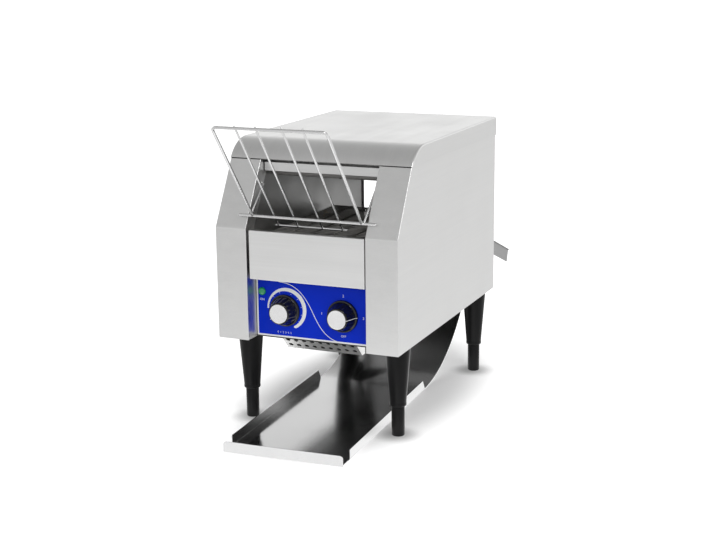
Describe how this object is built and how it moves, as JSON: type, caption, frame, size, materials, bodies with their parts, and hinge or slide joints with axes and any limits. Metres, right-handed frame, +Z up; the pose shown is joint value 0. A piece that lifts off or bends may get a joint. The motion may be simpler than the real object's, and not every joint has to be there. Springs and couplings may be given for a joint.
{
  "type": "conveyor toaster",
  "caption": "Counter-top conveyor toaster: wire feed rack over a belt, control panel with two dials, sloping rear exit and a loose curved chute that brings toast back to the front.",
  "frame": {"origin": "on the table, under the middle of the box round the whole toaster, its chute and feed rack", "axes": "+Z up; -Y towards the front, where bread is put in; +X to the right as seen from the front"},
  "size_m": [0.2626, 0.6092, 0.4289],
  "materials": {
    "stainless": "brushed stainless sheet, grain along the sheet",
    "inner_steel": "dull stainless sheet of the toasting space",
    "bright_wire": "bright plated wire",
    "polished_sheet": "polished stainless sheet",
    "belt_steel": "heat-darkened wire",
    "label_blue": "glossy blue printed film with a white border",
    "knob_black": "glossy black",
    "cap_metal": "spun aluminium disc",
    "lamp_green": "translucent green lens",
    "leg_black": "glossy black",
    "quartz": "frosted quartz tube",
    "ceramic": "unglazed ceramic",
    "shaft_steel": "ground steel",
    "bush_brass": "sintered bronze",
    "motor_grey": "grey paint",
    "switch_brown": "moulded resin",
    "gland_black": "matt nylon",
    "terminal_white": "moulded resin"
  },
  "bodies": {
    "housing": {"side_panel_right": "stainless", "side_panel_left": "stainless", "top_cover": "stainless", "inner_wall_right": "inner_steel", "inner_wall_left": "inner_steel", "front_strip": "stainless", "top_reflector": "inner_steel", "base_plate": "inner_steel", "rear_panel": "stainless", "rear_ramp": "stainless", "control_panel": "stainless", "control_label": "label_blue", "lower_guard": "stainless", "tray_runners": "inner_steel", "upper_heaters": "quartz", "lower_heaters": "quartz", "heater_caps": "ceramic", "conveyor_belt": "belt_steel", "bush_front_right": "bush_brass", "bush_front_left": "bush_brass", "bush_rear_right": "bush_brass", "bush_rear_left": "bush_brass", "drive_chain": "shaft_steel", "motor_bracket": "inner_steel", "gear_motor": "motor_grey", "speed_control": "switch_brown", "selector_switch": "switch_brown", "power_lamp": "lamp_green", "lamp_holder": "switch_brown", "leg_front_left": "leg_black", "leg_front_right": "leg_black", "leg_rear_left": "leg_black", "leg_rear_right": "leg_black", "cable_gland": "gland_black", "terminal_block": "terminal_white", "cover_screws": "shaft_steel", "panel_screws": "shaft_steel"},
    "feed_rack": {"rack_frame": "bright_wire", "rack_wires": "bright_wire"},
    "speed_dial": {"speed_knob": "knob_black", "speed_knob_cap": "cap_metal", "speed_spindle": "shaft_steel"},
    "selector_dial": {"selector_knob": "knob_black", "selector_knob_cap": "cap_metal", "selector_spindle": "shaft_steel"},
    "drive_roller": {"drive_shaft": "shaft_steel", "drive_sprockets": "belt_steel", "driven_wheel": "shaft_steel"},
    "idler_roller": {"idler_shaft": "shaft_steel", "idler_sprockets": "belt_steel"},
    "motor_output": {"motor_shaft": "shaft_steel", "motor_wheel": "shaft_steel"},
    "crumb_drawer": {"front_plate": "stainless", "crumb_tray": "inner_steel"},
    "loose_chute": {"chute": "polished_sheet"},
    "foot_front_left": {"foot_front_left": "leg_black"},
    "foot_front_right": {"foot_front_right": "leg_black"},
    "foot_rear_left": {"foot_rear_left": "leg_black"},
    "foot_rear_right": {"foot_rear_right": "leg_black"}
  },
  "joints": [
    {"name": "feed_rack_lift", "type": "hinge", "parent": "housing", "child": "feed_rack", "pos_m": [0, -0.15945, 0.33054], "axis": [-1, 0, 0], "range_deg": [0, 75]},
    {"name": "speed_dial_turn", "type": "hinge", "parent": "housing", "child": "speed_dial", "pos_m": [-0.042, -0.18298, 0.1642], "axis": [0, 1, 0], "range_deg": [0, 250]},
    {"name": "selector_dial_turn", "type": "hinge", "parent": "housing", "child": "selector_dial", "pos_m": [0.042, -0.18298, 0.1642], "axis": [0, -1, 0], "range_deg": [0, 270]},
    {"name": "drive_roller_spin", "type": "hinge", "parent": "housing", "child": "drive_roller", "pos_m": [0, 0.04546, 0.248], "axis": [1, 0, 0], "continuous": true},
    {"name": "idler_roller_spin", "type": "hinge", "parent": "housing", "child": "idler_roller", "pos_m": [0, -0.16398, 0.248], "axis": [1, 0, 0], "continuous": true},
    {"name": "motor_output_spin", "type": "hinge", "parent": "housing", "child": "motor_output", "pos_m": [0, 0.02746, 0.16744], "axis": [1, 0, 0], "continuous": true},
    {"name": "crumb_drawer_pull", "type": "slide", "parent": "housing", "child": "crumb_drawer", "axis": [0, -1, 0], "range_m": [0, 0.26]},
    {"name": "chute_slide", "type": "slide", "parent": "housing", "child": "loose_chute", "axis": [-0.0454, 0.999, 0], "range_m": [0, 0.3]},
    {"name": "foot_front_left_screw", "type": "slide", "parent": "housing", "child": "foot_front_left", "axis": [0, 0, -1], "range_m": [0, 0.012]},
    {"name": "foot_front_right_screw", "type": "slide", "parent": "housing", "child": "foot_front_right", "axis": [0, 0, -1], "range_m": [0, 0.012]},
    {"name": "foot_rear_left_screw", "type": "slide", "parent": "housing", "child": "foot_rear_left", "axis": [0, 0, -1], "range_m": [0, 0.012]},
    {"name": "foot_rear_right_screw", "type": "slide", "parent": "housing", "child": "foot_rear_right", "axis": [0, 0, -1], "range_m": [0, 0.012]}
  ],
  "couplings": [
    {"joint": "idler_roller_spin", "follows": "drive_roller_spin", "ratio": 1},
    {"joint": "motor_output_spin", "follows": "drive_roller_spin", "ratio": 1}
  ]
}
